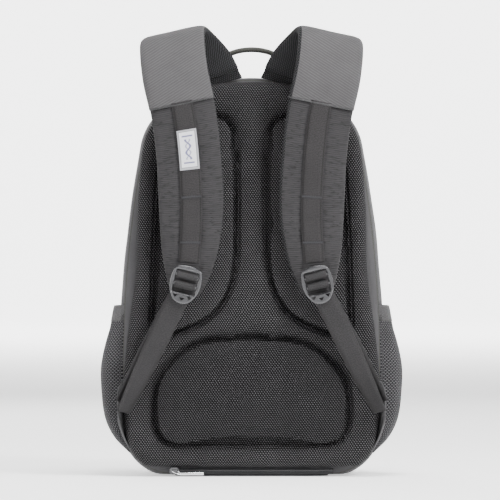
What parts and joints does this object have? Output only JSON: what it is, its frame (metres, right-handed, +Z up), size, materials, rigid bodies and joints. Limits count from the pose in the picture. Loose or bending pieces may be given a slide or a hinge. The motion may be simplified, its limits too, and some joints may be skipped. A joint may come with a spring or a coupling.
{
  "type": "school backpack",
  "caption": "Padded school backpack with mesh back panel, contoured shoulder straps, ladder-lock buckles, side pockets, zipped clamshell main compartment and front pocket.",
  "frame": {"origin": "centre of the flat base, on the surface it stands on", "axes": "+Z up towards the grab handle; -Y towards the shoulder straps, the side worn against the back; +X to the right of someone who looks at the strap side"},
  "size_m": [0.349, 0.2505, 0.5262],
  "materials": {
    "polyester": "woven polyester, matt",
    "twill": "fine diagonal weave, slight sheen",
    "air_mesh": "knitted spacer mesh with small holes",
    "pocket_mesh": "open knitted mesh",
    "webbing": "ribbed webbing",
    "handle": "tubular webbing",
    "lining": "brushed mesh lining",
    "foam": "cloth over foam",
    "board": "sheet",
    "zip": "coil on tape",
    "plastic": "moulded",
    "metal": "satin",
    "label": "woven patch with a raised edge"
  },
  "bodies": {
    "bag": {"bag_shell": "polyester", "base_panel": "board", "frame_sheet": "board", "laptop_sleeve": "lining", "left_back_pad": "air_mesh", "right_back_pad": "air_mesh", "lumbar_pad": "air_mesh", "back_panel": "air_mesh", "zip_tape_rear": "zip", "base_zip": "zip", "left_side_pocket": "pocket_mesh", "left_pocket_elastic": "webbing", "left_wing": "polyester", "left_lower_webbing": "webbing", "right_side_pocket": "pocket_mesh", "right_pocket_elastic": "webbing", "right_wing": "polyester", "right_lower_webbing": "webbing"},
    "lid": {"lid_shell": "polyester", "zip_tape_front": "zip", "front_pocket": "polyester", "front_pocket_zip": "zip"},
    "handle": {"grab_handle": "handle"},
    "main_left_slider_body": {"main_left_slider": "plastic"},
    "main_left_pull_body": {"main_left_pull": "plastic"},
    "main_right_slider_body": {"main_right_slider": "plastic"},
    "main_right_pull_body": {"main_right_pull": "plastic"},
    "front_pocket_slider_body": {"front_pocket_slider": "plastic"},
    "front_pocket_pull_body": {"front_pocket_pull": "plastic"},
    "base_slider_body": {"base_slider": "metal"},
    "base_pull_body": {"base_pull": "metal"},
    "left_strap": {"left_strap_pad": "foam", "left_strap_yoke": "twill", "left_strap_lining": "lining", "left_strap_webbing": "webbing", "left_buckle_loop": "webbing", "strap_label": "label"},
    "left_buckle_body": {"left_buckle": "plastic", "left_webbing_turn": "webbing"},
    "left_tail": {"left_webbing_tail": "webbing"},
    "right_strap": {"right_strap_pad": "foam", "right_strap_yoke": "twill", "right_strap_lining": "lining", "right_strap_webbing": "webbing", "right_buckle_loop": "webbing"},
    "right_buckle_body": {"right_buckle": "plastic", "right_webbing_turn": "webbing"},
    "right_tail": {"right_webbing_tail": "webbing"}
  },
  "joints": [
    {"name": "lid_open", "type": "hinge", "parent": "bag", "child": "lid", "pos_m": [0, 0.0963, 0.0603], "axis": [-1, 0, 0], "range_deg": [0, 85]},
    {"name": "handle_fold", "type": "hinge", "parent": "bag", "child": "handle", "pos_m": [0, -0.052, 0.46756], "axis": [-1, 0, 0], "range_deg": [-8, 60]},
    {"name": "main_left_zip", "type": "hinge", "parent": "bag", "child": "main_left_slider_body", "pos_m": [0, 0.0223, 0.303], "axis": [0, -1, 0], "range_deg": [0, 13]},
    {"name": "main_right_zip", "type": "hinge", "parent": "bag", "child": "main_right_slider_body", "pos_m": [0, 0.0223, 0.303], "axis": [0, 1, 0], "range_deg": [0, 53]},
    {"name": "main_left_pull_lift", "type": "hinge", "parent": "main_left_slider_body", "child": "main_left_pull_body", "pos_m": [-0.06912, 0.0223, 0.46197], "axis": [0, 1, 0], "range_deg": [0, 150]},
    {"name": "main_right_pull_lift", "type": "hinge", "parent": "main_right_slider_body", "child": "main_right_pull_body", "pos_m": [-0.055, 0.0223, 0.46739], "axis": [0, -1, 0], "range_deg": [0, 150]},
    {"name": "front_pocket_zip_slide", "type": "slide", "parent": "lid", "child": "front_pocket_slider_body", "axis": [1, 0, 0], "range_m": [0, 0.168]},
    {"name": "front_pocket_pull_lift", "type": "hinge", "parent": "front_pocket_slider_body", "child": "front_pocket_pull_body", "pos_m": [-0.084, 0.10115, 0.266], "axis": [1, 0, 0], "range_deg": [0, 160]},
    {"name": "base_zip_slide", "type": "slide", "parent": "bag", "child": "base_slider_body", "axis": [1, 0, 0], "range_m": [0, 0.18]},
    {"name": "base_pull_swing", "type": "hinge", "parent": "base_slider_body", "child": "base_pull_body", "pos_m": [-0.09064, -0.08935, 0.007], "axis": [0, 0, -1], "range_deg": [0, 160]},
    {"name": "left_strap_swing", "type": "hinge", "parent": "bag", "child": "left_strap", "pos_m": [-0.0487, -0.081, 0.46743], "axis": [-1, 0, 0], "range_deg": [0, 25]},
    {"name": "left_buckle_tilt", "type": "hinge", "parent": "left_strap", "child": "left_buckle_body", "pos_m": [-0.07503, -0.13, 0.2349], "axis": [-0.9703, 0, 0.2419], "range_deg": [0, 25]},
    {"name": "left_tail_pull", "type": "slide", "parent": "left_strap", "child": "left_tail", "axis": [-0.4339, 0.0904, -0.8964], "range_m": [0, 0.04]},
    {"name": "right_strap_swing", "type": "hinge", "parent": "bag", "child": "right_strap", "pos_m": [0.0487, -0.081, 0.46743], "axis": [-1, 0, 0], "range_deg": [0, 25]},
    {"name": "right_buckle_tilt", "type": "hinge", "parent": "right_strap", "child": "right_buckle_body", "pos_m": [0.07503, -0.13, 0.2349], "axis": [-0.9703, 0, -0.2419], "range_deg": [0, 25]},
    {"name": "right_tail_pull", "type": "slide", "parent": "right_strap", "child": "right_tail", "axis": [0.4339, 0.0904, -0.8964], "range_m": [0, 0.04]}
  ]
}
